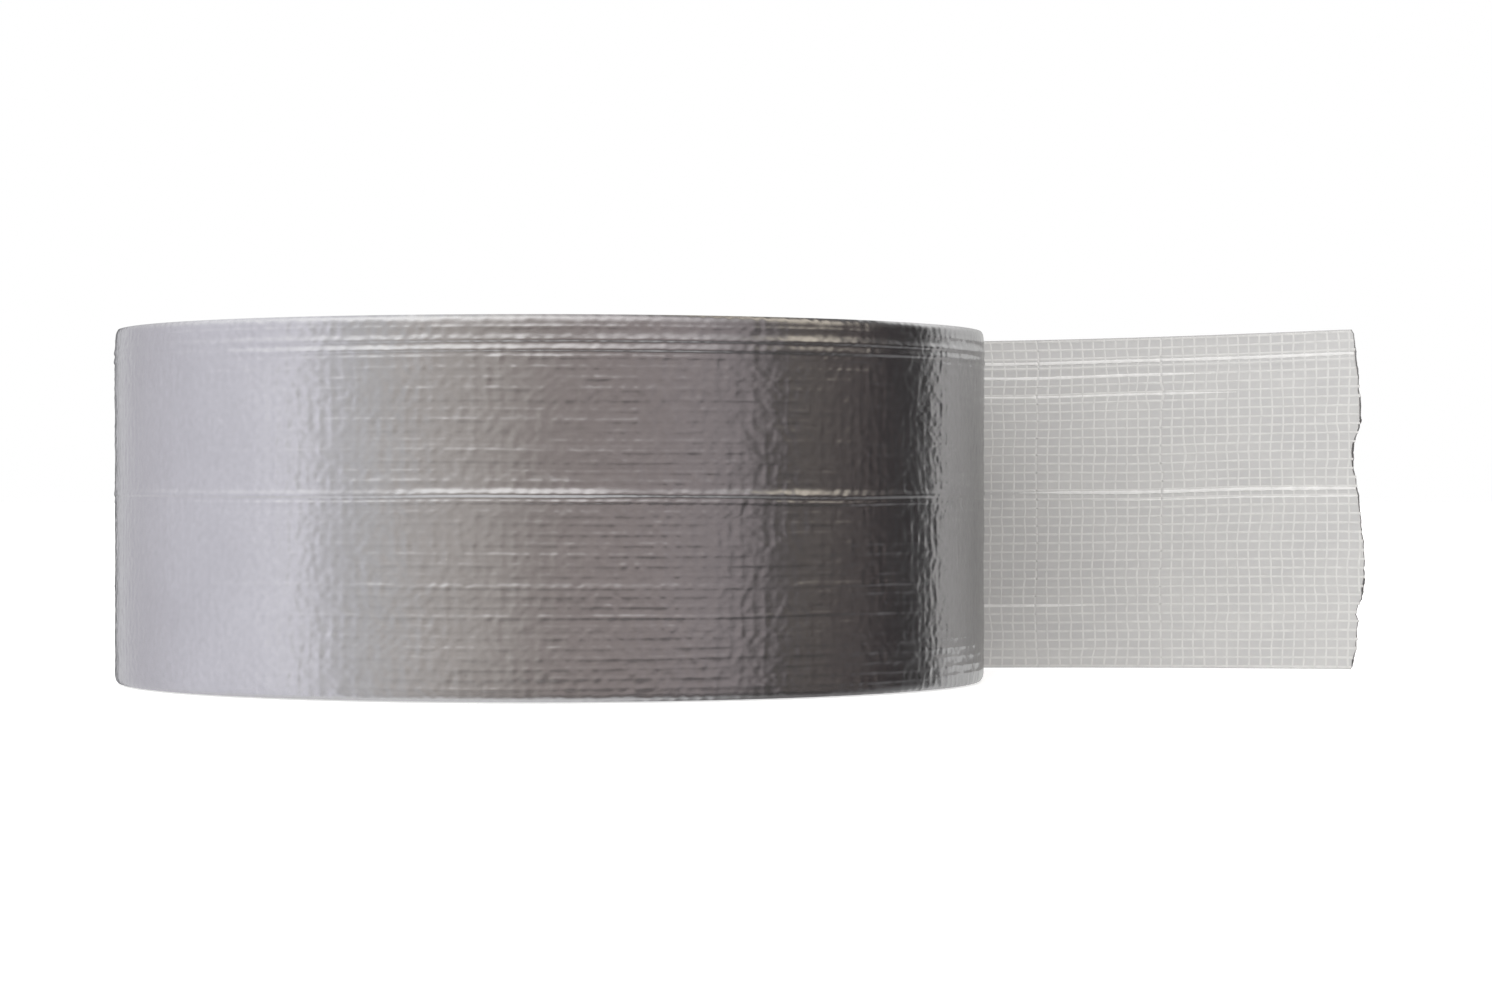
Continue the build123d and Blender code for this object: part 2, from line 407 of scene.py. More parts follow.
# ---- Materials ------------------------------------------------------------------------------
class Nodes:
    """A material's node tree, built up by short calls."""

    def __init__(self, name):
        self.material = bpy.data.materials.new(name)
        self.material.use_nodes = True
        self.tree = self.material.node_tree
        self.shader = self.tree.nodes["Principled BSDF"]

    def set(self, **values):
        for key, value in values.items():
            self.shader.inputs[key.replace("_", " ")].default_value = value

    def add(self, kind, **settings):
        node = self.tree.nodes.new(kind)
        for key, value in settings.items():
            setattr(node, key, value)
        return node

    def link(self, source, target):
        self.tree.links.new(source, target)

    def give(self, source, socket):
        self.link(source, self.shader.inputs[socket])

    def place(self, scale):
        """The object's own coordinates in millimetres, stretched by scale."""
        where = self.add("ShaderNodeTexCoord")
        mapping = self.add("ShaderNodeMapping")
        mapping.inputs["Scale"].default_value = [v * 1000 for v in scale]
        self.link(where.outputs["Object"], mapping.inputs["Vector"])
        return mapping.outputs["Vector"]

    def noise(self, scale=(1, 1, 1), detail=4.0, roughness=0.6, distortion=0.0):
        node = self.add("ShaderNodeTexNoise")
        node.inputs["Scale"].default_value = 1.0
        node.inputs["Detail"].default_value = detail
        node.inputs["Roughness"].default_value = roughness
        node.inputs["Distortion"].default_value = distortion
        self.link(self.place(scale), node.inputs["Vector"])
        return node.outputs["Fac"]

    def rings(self, per_mm):
        """Noise that changes only with the distance from the roll's axis."""
        flat = self.add("ShaderNodeVectorMath", operation="LENGTH")
        self.link(self.place((per_mm, per_mm, 0.0)), flat.inputs[0])
        node = self.add("ShaderNodeTexNoise", noise_dimensions="1D")
        node.inputs["Scale"].default_value = 1.0
        node.inputs["Detail"].default_value = 3.0
        self.link(flat.outputs["Value"], node.inputs["W"])
        return node.outputs["Fac"]

    def ramp(self, source, stops):
        node = self.add("ShaderNodeValToRGB")
        while len(node.color_ramp.elements) < len(stops):
            node.color_ramp.elements.new(0.5)
        for element, (place, colour) in zip(node.color_ramp.elements, stops):
            element.position = place
            element.color = (*colour, 1)
        self.link(source, node.inputs["Fac"])
        return node.outputs["Color"]

    def span(self, source, low, high, start=0.3, stop=0.7):
        node = self.add("ShaderNodeMapRange")
        node.inputs["From Min"].default_value = start
        node.inputs["From Max"].default_value = stop
        node.inputs["To Min"].default_value = low
        node.inputs["To Max"].default_value = high
        self.link(source, node.inputs["Value"])
        return node.outputs["Result"]

    def mix(self, share, first, second):
        node = self.add("ShaderNodeMix", data_type="RGBA")
        self.link(share, node.inputs["Factor"])
        self.link(first, node.inputs[6])
        if hasattr(second, "links"):
            self.link(second, node.inputs[7])
        else:
            node.inputs[7].default_value = (*second, 1)
        return node.outputs[2]

    def specks(self, per_mm, radius, share):
        """1 on small scattered specks, of this radius in cells, in this share of the cells."""
        node = self.add("ShaderNodeTexVoronoi")
        node.inputs["Scale"].default_value = 1.0
        self.link(self.place((per_mm, per_mm, per_mm)), node.inputs["Vector"])
        inside = self.span(node.outputs["Distance"], 1.0, 0.0, radius * 0.5, radius)
        parts = self.add("ShaderNodeSeparateColor")
        self.link(node.outputs["Color"], parts.inputs[0])
        chosen = self.add("ShaderNodeMath", operation="GREATER_THAN")
        self.link(parts.outputs[0], chosen.inputs[0])
        chosen.inputs[1].default_value = 1 - share
        both = self.add("ShaderNodeMath", operation="MULTIPLY")
        self.link(inside, both.inputs[0])
        self.link(chosen.outputs[0], both.inputs[1])
        return both.outputs[0]

    def bump(self, source, strength, distance_mm, below=None):
        node = self.add("ShaderNodeBump")
        node.inputs["Strength"].default_value = strength
        node.inputs["Distance"].default_value = distance_mm * MM
        self.link(source, node.inputs["Height"])
        if below is not None:
            self.link(below, node.inputs["Normal"])
        return node.outputs["Normal"]


def film_material():
    """Silver polyethylene film: fine aluminium pigment under a glossy skin, a little dusty."""
    m = Nodes("tape_film")
    m.set(Metallic=0.97, Coat_Weight=0.25, Coat_Roughness=0.12, Coat_IOR=1.5)
    m.set(Specular_Tint=(0.55, 0.55, 0.55, 1))
    cloudy = m.noise((0.06, 0.06, 0.06), detail=3)
    silver = m.ramp(cloudy, ((0.3, (0.445, 0.442, 0.450)), (0.7, (0.490, 0.487, 0.495))))
    flecks = m.span(m.noise((7, 7, 7), detail=2), 0.0, 0.22)
    silver = m.mix(flecks, silver, (0.56, 0.56, 0.57))
    mottle = m.span(m.noise((1.1, 1.1, 1.1), detail=3), 0.0, 0.26)
    silver = m.mix(mottle, silver, (0.34, 0.337, 0.345))
    dust = m.specks(0.20, 0.016, 0.35)
    m.give(m.mix(dust, silver, (0.80, 0.80, 0.78)), "Base Color")
    m.give(m.span(m.noise((0.35, 0.35, 0.35), detail=5), 0.15, 0.23), "Roughness")
    m.give(m.bump(m.noise((6, 6, 6), detail=2), 0.16, 0.012), "Normal")
    return m.material


def adhesive_material():
    """Pale grey rubber adhesive, tacky and a little uneven."""
    m = Nodes("tape_adhesive")
    m.set(Coat_Weight=0.10, Coat_Roughness=0.4)
    patches = m.noise((0.12, 0.12, 0.2), detail=4)
    base = m.ramp(patches, ((0.3, (0.448, 0.448, 0.445)), (0.7, (0.495, 0.495, 0.485))))
    mottle = m.span(m.noise((1.6, 1.6, 1.6), detail=3), 0.0, 0.35)
    m.give(m.mix(mottle, base, (0.435, 0.435, 0.437)), "Base Color")
    m.give(m.span(m.noise((0.8, 0.8, 0.8)), 0.42, 0.6), "Roughness")
    m.give(m.bump(m.noise((4, 4, 4), detail=4), 0.3, 0.02), "Normal")
    return m.material


def yarn_material(name, dark, light):
    """Polyester yarn, soaked with adhesive."""
    m = Nodes(name)
    m.set(Sheen_Weight=0.1)
    m.give(m.ramp(m.noise((0.8, 0.8, 0.8), detail=4), ((0.3, dark), (0.7, light))), "Base Color")
    m.give(m.span(m.noise((2, 2, 2)), 0.5, 0.7), "Roughness")
    m.give(m.bump(m.noise((9, 9, 9), detail=2), 0.4, 0.02), "Normal")
    return m.material


def cut_edge_material(name, dark, light):
    """The cut edges of one layer, seen on the roll's side faces."""
    m = Nodes(name)
    m.set(Specular_IOR_Level=0.35)
    base = m.ramp(m.noise((0.5, 0.5, 0.5), detail=6), ((0.25, dark), (0.78, light)))
    rings = m.span(m.rings(0.75), 0.0, 0.40, 0.35, 0.65)
    m.give(m.mix(rings, base, [c * 0.55 for c in dark]), "Base Color")
    m.give(m.span(m.noise((1.5, 1.5, 1.5)), 0.4, 0.65), "Roughness")
    m.give(m.bump(m.noise((5, 5, 5), detail=4), 0.4, 0.04), "Normal")
    return m.material


def paper_material(name, dark, light, grain):
    """Kraft paper or board, with fibres stretched by grain."""
    m = Nodes(name)
    m.set(Specular_IOR_Level=0.2)
    fibres = m.noise(grain, detail=8, roughness=0.7, distortion=0.4)
    middle = [(a + b) / 2 for a, b in zip(dark, light)]
    base = m.ramp(fibres, ((0.28, dark), (0.5, middle), (0.75, light)))
    bits = m.specks(0.8, 0.16, 0.16)
    m.give(m.mix(bits, base, [a * 0.6 for a in dark]), "Base Color")
    m.give(m.span(m.noise((0.8, 0.8, 0.8)), 0.75, 0.95), "Roughness")
    m.give(m.bump(m.noise((3, 3, 3), detail=6), 0.5, 0.06), "Normal")
    return m.material


FILM_LOOK = film_material()
ADHESIVE_LOOK = adhesive_material()
YARN_LOOK = yarn_material("tape_scrim", (0.52, 0.52, 0.51), (0.585, 0.585, 0.57))
PRESSED_LOOK = yarn_material("pressed_scrim", (0.62, 0.62, 0.61), (0.73, 0.73, 0.72))
FILM_EDGE_LOOK = cut_edge_material("film_edge", (0.25, 0.25, 0.26), (0.42, 0.42, 0.43))
ADHESIVE_EDGE_LOOK = cut_edge_material("adhesive_edge", (0.42, 0.42, 0.41), (0.62, 0.62, 0.60))
KRAFT_LOOK = paper_material("kraft_liner", (0.30, 0.205, 0.125), (0.50, 0.37, 0.25), (0.5, 0.5, 1.6))
BOARD_LOOK = paper_material("grey_board", (0.23, 0.19, 0.15), (0.42, 0.36, 0.295), (0.9, 0.9, 0.9))


# ---- Tape on the roll -----------------------------------------------------------------------
ALONG_STEP = WEFT_PITCH / 6
# Stations across the tape fall on every lengthwise yarn and between, and on both edges.
PER_WARP = 8
ACROSS = np.arange(-PER_WARP, PER_WARP * WARP_COUNT) * WARP_PITCH / PER_WARP + FIRST_WARP * WARP_PITCH
ACROSS = np.unique(np.clip(ACROSS, 0, WIDTH))
FIXED_END = -2 * STUCK_LENGTH
FILM_SECTIONS = 5            # the last turn's film is made in this many lengths


def film_face(u, v):
    return OUTER + film_height(u, v)


def up_to_edge(start, stop, edge):
    """Rows of stations along the tape, the last one on the torn edge if there is one."""
    u = stations(start, stop, ALONG_STEP)[:, None] * np.ones(len(ACROSS))
    if edge is None:
        return u
    return start + (u - start) * (edge(ACROSS) - start) / (stop - start)


def film_piece(name, start, stop, edge=None):
    piece = slab(name, up_to_edge(start, stop, edge), ACROSS, film_face, FILM_BACK, True, FILM_LOOK)
    return piece


EDGE_LEVELS = (0.0, 0.5, 1.1, 1.9)           # a plain layer's corners, from each edge inward
PLAIN_STEP = 1.2


def plain_layer(name, low, high, look):
    """One of the hidden layers of the last turn, drawn in near both edges as the film is."""
    levels = list(EDGE_LEVELS) + [WIDTH - level for level in reversed(EDGE_LEVELS)]
    section = [(low, v) for v in levels] + [(high, v) for v in reversed(levels)]
    along = stations(-ONE_TURN, FIXED_END, PLAIN_STEP)
    ring = [tape_points(along, out, np.full(len(along), v)) for out, v in section]
    return tube(name, np.stack(ring, 1), look)


def outer_turn():
    """The last turn where it is stuck for good, and the two layers under its film."""
    breaks = np.linspace(-ONE_TURN, FIXED_END, FILM_SECTIONS + 1)
    for n in range(FILM_SECTIONS):
        piece = film_piece(f"outer_turn_film_{n + 1}", breaks[n], breaks[n + 1])
        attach(piece, ROLL)
        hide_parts("outer_turn_film")
    for layer, low, high, look in (
        ("scrim", SCRIM_BACK, FILM_BACK, YARN_LOOK),
        ("adhesive", -OUTER, SCRIM_BACK, ADHESIVE_LOOK),
    ):
        strip = plain_layer(f"outer_turn_{layer}_layer", low, high, look)
        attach(strip, ROLL)
        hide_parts(f"outer_turn_{layer}")


TURN_STATIONS = 96           # round each wound turn
SIDE_INSET = 0.12            # how far the turns' edges stay inside the tape's width, on average
SIDE_DRIFT = 0.11            # and how far one turn's edges stray from the next one's
EDGE_BAND = 1.7              # the strip next to each edge that draws in
FILM_PROUD = 0.02            # how far the film stands out past the cloth at a cut edge
BARED_FILM = 0.01            # what is left of the film under the worked piece


def side_drift(t, turns):
    """How far the winding strays sideways, at each place t, which counts turns."""
    drift = SIDE_DRIFT * np.random.default_rng(21).standard_normal(turns + 2)
    drift = np.convolve(drift, [0.25, 0.5, 0.25], "same")
    whole = np.floor(t).astype(int)
    part = (1 - np.cos(math.pi * (t - whole))) / 2
    return drift[whole] * (1 - part) + drift[whole + 1] * part


def side_rise(side, arc, t, drift):
    """How far the turns' edges stand out of one side face of the tape's full width."""
    medium = Field(31 + side, 60.0, 1.0)
    fine = Field(41 + side, 9.0, 1.0)
    slow = Field(51 + side, 190.0, 9.0)
    return drift + 0.05 * medium(arc, t) + 0.02 * fine(arc, t) + 0.10 * slow(arc, t) - SIDE_INSET


def wound_turns():
    """Every turn under the last one, as one continuous strip with its own uneven edges."""
    turns = TURNS - 1
    t = np.arange(turns * TURN_STATIONS + 1) / TURN_STATIONS
    angle = math.radians(PEEL_ANGLE) + 2 * math.pi * t
    base = PACK_START + PITCH * t
    # Only the outermost turns draw in at their edges, as the last one does.
    share = (t / turns) ** 4
    drift = side_drift(t, turns)
    rise = [side_rise(side, angle * base, t, drift) for side in range(2)]
    film_low = THICKNESS - FILM
    # The film of the last stretch, which the peeling tape uncovers, is a worked piece.
    bared = t > turns - STUCK_LENGTH * 2 / ONE_TURN
    film_high = np.where(bared, film_low + BARED_FILM, THICKNESS)
    # The section's corners: how far outward, which side, how far in from it, and how proud.
    section = (
        (0.0, 0, 0.0, 0.0), (0.0, 0, EDGE_BAND, 0.0), (0.0, 1, EDGE_BAND, 0.0), (0.0, 1, 0.0, 0.0),
        (film_low, 1, 0.0, -FILM_PROUD), (film_high, 1, 0.0, FILM_PROUD),
        (film_high, 1, EDGE_BAND, 0.0), (film_high, 0, EDGE_BAND, 0.0),
        (film_high, 0, 0.0, FILM_PROUD), (film_low, 0, 0.0, -FILM_PROUD),
    )
    rings = []
    for out, side, inset, proud in section:
        drawn_in = crown(0.0) * share if inset == 0 else 0.0
        radius = base + out + drawn_in
        height = inset - (rise[side] + proud) * (inset == 0)
        z = np.clip(height, 0.0, WIDTH) + np.zeros_like(t)
        z = WIDTH - z if side else z
        rings.append(np.stack([radius * np.sin(angle), radius * np.cos(angle), z], -1) * MM)
    adhesive, film = 1, 0
    indices = [adhesive] * 4 + [film] * 5 + [adhesive]
    looks = [FILM_EDGE_LOOK, ADHESIVE_EDGE_LOOK]
    piece = tube("wound_tape_turns", np.stack(rings, 1), looks, indices)
    piece.data.set_sharp_from_angle(angle=math.radians(35))
    bared_film = film_piece("film_under_the_peel", FIXED_END - ONE_TURN, -ONE_TURN)
    for part in (piece, bared_film):
        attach(part, ROLL)
        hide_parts("wound_tape")


# ---- Loose end ------------------------------------------------------------------------------
def hinge_places():
    """Where each hinge lies along the tape, by the body that it carries."""
    places = {PEEL_1: -2 * STUCK_LENGTH, PEEL_2: -STUCK_LENGTH, LIFT: 0.0}
    distance = LOOSE_RUNS[0][0] + LOOSE_RUNS[1][0]
    for body, (length, _) in zip((TAIL_1, TAIL_2, TAIL_3), LOOSE_RUNS[2:]):
        places[body] = distance
        distance += length
    return places


def torn(v):
    """Where the film ends at each place across it."""
    across, out = zip(*TORN_EDGE)
    jag = 0.10 * TEAR(0 * v, v) + 0.05 * TEAR(0 * v + 7, v * 2.6)
    return TAIL_LENGTH + np.interp(v, across, out) + jag


def adhesive_end(v):
    """Where the adhesive ends: a little short of the film, and shorter in places."""
    return torn(v) - 0.06 - 0.22 * np.clip(RIM(0 * v, v), 0, 1)


def adhesive_face(u, v):
    """The sticky face: a little raised over the yarns, and creased."""
    lumps = 0.006 * ridge(warp_phase(v), 1.5) + 0.006 * ridge(u / WEFT_PITCH, 1.5)
    return -OUTER - lumps - 0.003 * GRAIN(u, v) - CREASE_BEHIND * creases(u, v)


def adhesive_piece(name, start, stop, edge):
    u = up_to_edge(start, stop, edge and adhesive_end)
    piece = slab(name, u, ACROSS, adhesive_face, SCRIM_BACK, False, ADHESIVE_LOOK)
    return piece


YARN_MARGIN = 0.15           # a crosswise yarn ends this far inside the tape's edges,
YARN_SHORT = 0.25            # and this far short of the torn end
FRAY = (-0.1, 0.35)          # a lengthwise yarn ends between these past the adhesive's end
YARN_RING = [(math.cos(a), math.sin(a)) for a in np.linspace(0, 2 * math.pi, 9)[:-1]]


def yarn_rings(u, v, lengthwise, half_width, sink):
    """Rings of one yarn that follows these places in the sticky face."""
    out = -OUTER + sink - CREASE_BEHIND * creases(u, v)
    rings = []
    for side, up in YARN_RING:
        du, dv = (0.0, side * half_width) if lengthwise else (side * half_width, 0.0)
        rings.append(tape_points(u + du, out + up * YARN_HALF_HEIGHT, np.clip(v + dv, 0.0, WIDTH)))
    return np.stack(rings, 1)


def yarn_width(plain, strength, u, v):
    """A yarn's half width at each place, as a little more or less than this share of its own."""
    return YARN_HALF_WIDTH * (plain + 0.16 * GRAIN(u, v) + 0.18 * strength(u, v))


def yarn_sink(wave, crossing, strength, u, v):
    """How deep a yarn lies at each place, where crossing counts the yarns that it crosses."""
    return YARN_SINK + wave * np.cos(math.pi * crossing) + YARN_DRIFT * strength(u, v)


def warp_yarns(start, stop, edge, rng):
    """Rings of every lengthwise yarn between two places along the tape."""
    found = []
    for k in range(WARP_COUNT):
        v = (k + FIRST_WARP) * WARP_PITCH
        last = stop if edge is None else float(adhesive_end(np.array(v))) + rng.uniform(*FRAY)
        u = stations(start, last, WEFT_PITCH / 4)
        width = yarn_width(1.0, WARP_STRENGTH, u, v)
        sink = yarn_sink(YARN_WAVE, u / WEFT_PITCH + k, WARP_STRENGTH, u, v)
        found.append(yarn_rings(u, np.full(len(u), v), True, width, sink))
    return found


def weft_yarns(start, stop, edge):
    """Rings of every crosswise yarn between two places along the tape."""
    found = []
    v = stations(YARN_MARGIN, WIDTH - YARN_MARGIN, WARP_PITCH / 3)
    furthest = stop if edge is None else stop + 2.0
    for j in range(math.ceil(start / WEFT_PITCH), math.ceil(furthest / WEFT_PITCH)):
        u = np.full(len(v), j * WEFT_PITCH)
        kept = np.ones(len(v), bool) if edge is None else u < adhesive_end(v) - YARN_SHORT
        # It dives where the lengthwise yarns rise.
        sink = yarn_sink(-YARN_WAVE, v / WARP_PITCH + j, WEFT_STRENGTH, u, v)
        width = yarn_width(0.95, WEFT_STRENGTH, u, v)
        for part in np.split(np.arange(len(v)), np.where(~kept)[0]):
            part = part[kept[part]]
            if len(part) > 2:
                found.append(yarn_rings(u[part], v[part], False, width[part], sink[part]))
    return found


PRESSED_SINK = YARN_SINK - 0.010
PRESSED_FADE = 8.0           # over this length a pressed line narrows to a quarter at its ends


def pressed_lines(start, stop, edge):
    """Rings of the lengthwise lines that creasing has pressed white."""
    found = []
    for v, first, last, half_width in PRESSED:
        low = max(start, first)
        high = min(stop if edge is None else float(adhesive_end(np.array(v))), last)
        if high - low < 1.0:
            continue
        u = stations(low, high, WEFT_PITCH / 4)
        fade = np.clip(np.minimum(u - first, last - u) / PRESSED_FADE, 0.25, 1)
        beads = 0.85 + 0.15 * ridge(u / WEFT_PITCH, 1.0)
        width = half_width * fade * beads * (1 + 0.2 * GRAIN(u, v))
        found.append(yarn_rings(u, np.full(len(u), v), True, width, PRESSED_SINK))
    return found


def on_line(s):
    """The point in the frame on the tape's middle line, half way up."""
    return tuple(tape_points(np.array(s), np.array(0.0), np.array(WIDTH / 2)))


PEEL_BEND = 5.0              # a place this far past a stuck hinge, looked up on the tape's middle line
TAIL_BEND = 7.5              # and this far each side of a loose hinge


def loose_end():
    """The peeling and hanging tape, one set of layers across each hinge."""
    hinges = hinge_places()
    ends = list(hinges.values()) + [TAIL_LENGTH]
    # The layers meet under a crosswise yarn, near half way between two hinges.
    middles = [round((a + b) / 2 / WEFT_PITCH) * WEFT_PITCH for a, b in zip(ends, ends[1:])]
    starts = [FIXED_END] + middles[:-1]
    rng = np.random.default_rng(61)
    for n, body in enumerate(hinges):
        start, stop, edge = starts[n], middles[n], None
        if body == TAIL_3:
            stop, edge = TAIL_LENGTH, torn
        at = ends[n]
        bend = (at + 0.1, at + PEEL_BEND) if at <= 0 else (at - TAIL_BEND, at + TAIL_BEND)
        pressed = pressed_lines(start, stop, edge)
        yarns = warp_yarns(start, stop, edge, rng) + weft_yarns(start, stop, edge) + pressed
        looks = [YARN_LOOK, PRESSED_LOOK]
        layers = {
            "film": film_piece(f"film_over_{body}", start, stop, edge),
            "scrim": joined_tubes(f"scrim_over_{body}", yarns, looks, marked=len(pressed)),
            "adhesive": adhesive_piece(f"adhesive_over_{body}", start, stop, edge),
        }
        for layer, piece in layers.items():
            on_line(bend[0])
            on_line(bend[1])
            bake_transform(piece)
            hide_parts(f"{body}_{layer}")


# ---- Core -----------------------------------------------------------------------------------
# Over what length a ply thins towards its cut rims and its seam, and by what share of itself.
RIM_WEAR = (0.35, 0.16)
SEAM_WEAR = (1.2, 0.10)
PLY_BOW = 0.02               # how far a ply swells in and out of round


def worn(from_edge, wear):
    """The share of its thickness that a ply loses this far from an edge."""
    reach, share = wear
    return share * np.clip(1 - from_edge / reach, 0, 1) ** 2


def core_ply(name, inner, thickness, seam_start, look, number):
    """One wound ply: its seam climbs round the core, and its cut rims are a little rough."""
    around, up = 240, 64
    middle = inner + thickness / 2
    gap = SEAM_GAP / middle
    rough, bow = Field(70 + number, 1.6, 1.0), Field(80 + number, 18.0, 9.0)
    share = np.linspace(0, 1, around + 1)[:, None]
    # The rings lie closer together towards both rims.
    level = (1 - np.cos(math.pi * np.linspace(0, 1, up + 1))) / 2
    turn = share * (2 * math.pi - gap) + gap / 2
    arc = turn * middle
    foot = 0.10 * np.clip(rough(arc, 0.0), 0, 1)
    head = 0.16 * np.clip(rough(arc, 9.0) + 0.3, 0, 1)
    z = foot + level * (WIDTH - head - foot)
    angle = math.radians(seam_start) + math.radians(SEAM_TWIST) * (z + 1) / WIDTH + turn
    from_rim = np.minimum(z - foot, WIDTH - head - z)
    from_seam = np.minimum(share, 1 - share) * 2 * math.pi * middle
    shrink = thickness * (worn(from_rim, RIM_WEAR) + worn(from_seam, SEAM_WEAR))
    swell = PLY_BOW * bow(arc, z)
    faces = []
    for radius in (inner + shrink + swell, inner + thickness - shrink + swell):
        faces.append(np.stack([radius * np.cos(angle), radius * np.sin(angle), z], -1) * MM)
    inside, outside = faces
    rows, columns = inside.shape[:2]
    a = np.arange(rows * columns).reshape(rows, columns)
    b = a + rows * columns
    quads = np.vstack([
        grid_cells(a), grid_cells(b)[:, ::-1],
        cells(a[:-1, 0], a[1:, 0], b[1:, 0], b[:-1, 0]),
        cells(a[1:, -1], a[:-1, -1], b[:-1, -1], b[1:, -1]),
        cells(a[0, 1:], a[0, :-1], b[0, :-1], b[0, 1:]),
        cells(a[-1, :-1], a[-1, 1:], b[-1, 1:], b[-1, :-1]),
    ])
    points = np.vstack([inside.reshape(-1, 3), outside.reshape(-1, 3)])
    piece = new_object(f"{name}_wound", points, quads, look)
    piece.data.set_sharp_from_angle(angle=math.radians(50))
    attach(piece, ROLL)
    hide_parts(name)


def core():
    boards = [f"core_board_ply_{n}" for n in range(1, 5)]
    names = ["core_inner_liner"] + boards + ["core_outer_liner"]
    radius = BORE
    for number, name in enumerate(names):
        is_liner = name.endswith("liner")
        thickness = LINER if is_liner else BOARD
        look = KRAFT_LOOK if is_liner else BOARD_LOOK
        core_ply(name, radius, thickness, number * SEAM_STEP, look, number)
        radius += thickness


# ---- Studio ---------------------------------------------------------------------------------
# The soft light that comes level from each side of the studio, by azimuth in degrees from the
# front (-Y), to the right. A single number is a grey.
WALLS = (
    (-180, 0.02), (-170, 0.02), (-161, (0.14, 0.14, 0.15)), (-155, (1.24, 1.24, 1.28)),
    (-147, (1.24, 1.23, 1.29)), (-137, (1.13, 1.11, 1.19)), (-125, (1.04, 1.02, 1.10)),
    (-107, (1.06, 1.05, 1.14)), (-92, (1.09, 1.08, 1.17)), (-79, (1.11, 1.10, 1.19)),
    (-70, (1.24, 1.23, 1.32)), (-64, (1.22, 1.21, 1.29)), (-58, (0.96, 0.95, 0.99)),
    (-52, (0.84, 0.835, 0.85)), (-43, (0.81, 0.80, 0.795)), (-29, (0.77, 0.715, 0.675)),
    (-10, (0.56, 0.51, 0.475)), (3, (0.43, 0.37, 0.35)), (28, (0.44, 0.38, 0.37)),
    (46, (0.44, 0.39, 0.395)), (55, (0.34, 0.30, 0.305)), (61, (0.155, 0.14, 0.14)),
    (66, (0.095, 0.085, 0.085)), (72, (0.195, 0.170, 0.150)), (80, (0.095, 0.080, 0.080)),
    (88, (0.125, 0.105, 0.100)), (96, (0.050, 0.040, 0.042)), (108, (0.024, 0.021, 0.023)),
    (121, 0.08), (130, (1.10, 1.10, 1.08)), (168, (1.05, 1.05, 1.03)), (180, 0.02),
)
# The light from above, between the walls and the part right overhead.
CEILING = (
    (-180, 1.1), (-150, (1.3, 1.3, 1.33)), (-90, (1.5, 1.5, 1.55)), (-60, (1.65, 1.65, 1.67)),
    (-30, (1.75, 1.74, 1.70)), (-8, (1.50, 1.46, 1.42)), (12, (1.30, 1.25, 1.23)),
    (28, (1.12, 1.06, 1.05)), (46, (0.85, 0.80, 0.80)), (58, (0.45, 0.42, 0.42)),
    (66, (0.45, 0.41, 0.37)), (74, (1.25, 1.13, 0.93)), (84, (1.10, 1.00, 0.84)),
    (92, (0.30, 0.27, 0.25)), (100, (0.14, 0.13, 0.13)), (118, 0.12),
    (130, (1.75, 1.75, 1.72)), (160, 1.6), (180, 1.1),
)
# The light from a little below the horizon is a share of the walls' own, and a glow.
LOW_SHARE = (
    (-180, 1.0), (-75, 0.95), (-45, 0.90), (-15, 0.72), (15, 0.45), (30, 0.36), (115, 0.38),
    (130, 0.95), (180, 0.95),
)
LOW_GLOW = (
    (-180, (0.55, 0.55, 0.57)), (-168, (0.55, 0.55, 0.57)), (-156, 0.0), (84, 0.0),
    (95, 0.18), (116, 0.24), (130, 0.0), (168, 0.0), (180, (0.55, 0.55, 0.57)),
)
# The light from the table, far below the horizon.
TABLE = (
    (-180, 1.0), (-60, 1.15), (30, 1.0), (55, 0.5), (75, (0.26, 0.25, 0.25)),
    (115, (0.26, 0.25, 0.25)), (130, (1.0, 1.0, 0.98)), (180, 1.0),
)
STEEP_SHARE = 0.6            # the light from overhead, as a share of the ceiling's
BRIGHTEST = 2.0              # a ramp's own colours stop at 1
FLOOR_LEVEL = -0.0002        # just clear of the roll's lower side face

LENS = 94.1
CAMERA_PLACE = (0.4486, -9.027, 0.4435)      # in roll radii
CAMERA_DIP = 0.19            # degrees below level


class World(Nodes):
    """The world's node tree, with the same short calls."""

    def __init__(self, world):
        world.use_nodes = True
        self.tree = world.node_tree

    def math(self, operation, first, second):
        node = self.add("ShaderNodeMath", operation=operation)
        for socket, value in zip(node.inputs, (first, second)):
            if hasattr(value, "links"):
                self.link(value, socket)
            else:
                socket.default_value = value
        return node.outputs[0]

    def colour_math(self, operation, first, second):
        node = self.add("ShaderNodeVectorMath", operation=operation)
        self.link(first, node.inputs[0])
        self.link(second, node.inputs[1])
        return node.outputs[0]

    def scaled(self, source, factor):
        node = self.add("ShaderNodeVectorMath", operation="SCALE")
        self.link(source, node.inputs[0])
        node.inputs["Scale"].default_value = factor
        return node.outputs[0]

    def round_ramp(self, source, stops):
        """A colour for every azimuth, from stops in degrees, with no corner at any of them."""
        dimmed = []
        for angle, light in stops:
            channels = light if isinstance(light, tuple) else (light,) * 3
            dimmed.append(((angle + 180) / 360, [c / BRIGHTEST for c in channels]))
        colour = self.ramp(source, dimmed)
        colour.node.color_ramp.interpolation = "B_SPLINE"
        return self.scaled(colour, BRIGHTEST)

    def soft_step(self, source, start, stop):
        node = self.add("ShaderNodeMapRange", interpolation_type="SMOOTHSTEP")
        node.inputs["From Min"].default_value = start
        node.inputs["From Max"].default_value = stop
        self.link(source, node.inputs["Value"])
        return node.outputs["Result"]


